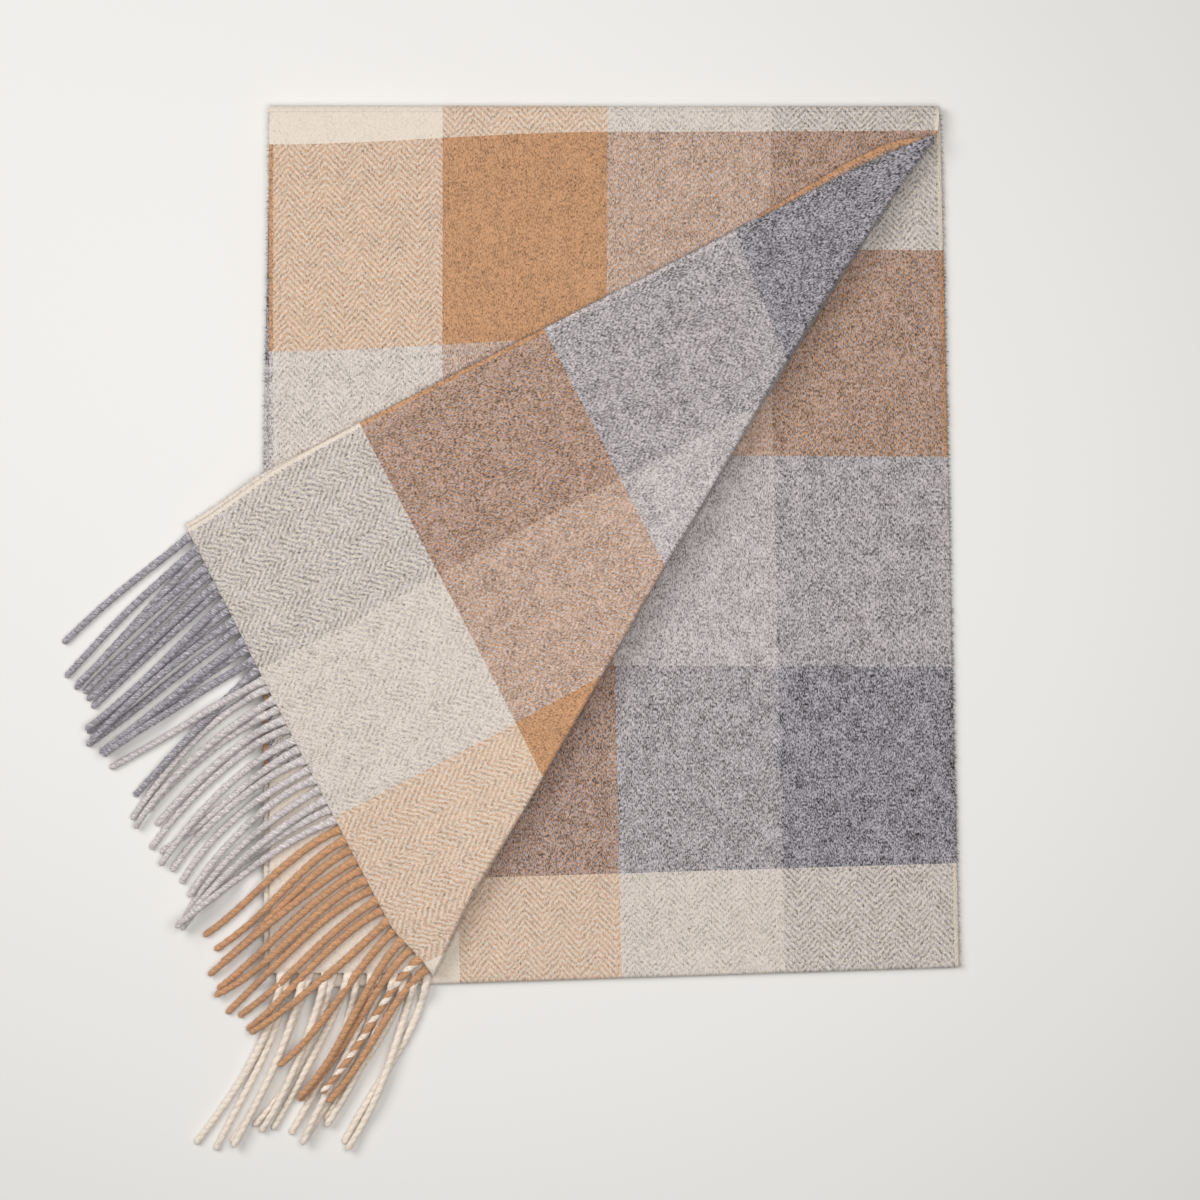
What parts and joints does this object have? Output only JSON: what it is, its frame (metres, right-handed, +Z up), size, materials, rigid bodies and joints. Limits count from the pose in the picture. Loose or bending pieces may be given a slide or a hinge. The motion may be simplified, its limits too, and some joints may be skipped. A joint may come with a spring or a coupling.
{
  "type": "folded fringed wool wrap",
  "caption": "Long brushed herringbone-check cloth folded in half and in half again, one corner of the upper leaf turned over, twisted tassels along both short ends",
  "frame": {"origin": "Middle of the underside of the lowest layer, which lies on the table.", "axes": "+Z up; +Y from the bottom fold towards the top fold; +X towards the selvedge where the diagonal crease starts."},
  "size_m": [0.4584, 0.5363, 0.0124],
  "materials": {
    "check_cloth": "matte",
    "cream_yarn": "matte",
    "tan_yarn": "matte",
    "light_grey_yarn": "matte",
    "dark_grey_yarn": "matte"
  },
  "bodies": {
    "stack": {"panel_bottom": "check_cloth", "panel_second": "check_cloth", "fold_bottom": "check_cloth", "fold_top_outer": "check_cloth", "fold_top_inner": "check_cloth"},
    "upper_leaf": {"leaf_lower": "check_cloth", "leaf_upper": "check_cloth", "fold_flap_outer": "check_cloth", "fold_flap_inner": "check_cloth", "tassels_upper_cream": "cream_yarn", "tassels_lower_cream": "cream_yarn"},
    "corner_flap": {"flap_under": "check_cloth", "flap_outer": "check_cloth", "tassels_upper_tan": "tan_yarn", "tassels_upper_light": "light_grey_yarn", "tassels_upper_dark": "dark_grey_yarn", "tassels_lower_tan": "tan_yarn", "tassels_lower_light": "light_grey_yarn", "tassels_lower_dark": "dark_grey_yarn"}
  },
  "joints": [
    {"name": "top_fold", "type": "hinge", "parent": "stack", "child": "upper_leaf", "pos_m": [0, 0.226, 0.0055], "axis": [-1, 0, 0], "range_deg": [0, 180], "deforming": ["fold_top_outer", "fold_top_inner"]},
    {"name": "flap_fold", "type": "hinge", "parent": "upper_leaf", "child": "corner_flap", "pos_m": [-0.091, -0.223, 0.0074], "axis": [0.5217, 0.8531, 0], "range_deg": [0, 180], "deforming": ["fold_flap_outer", "fold_flap_inner"]}
  ]
}
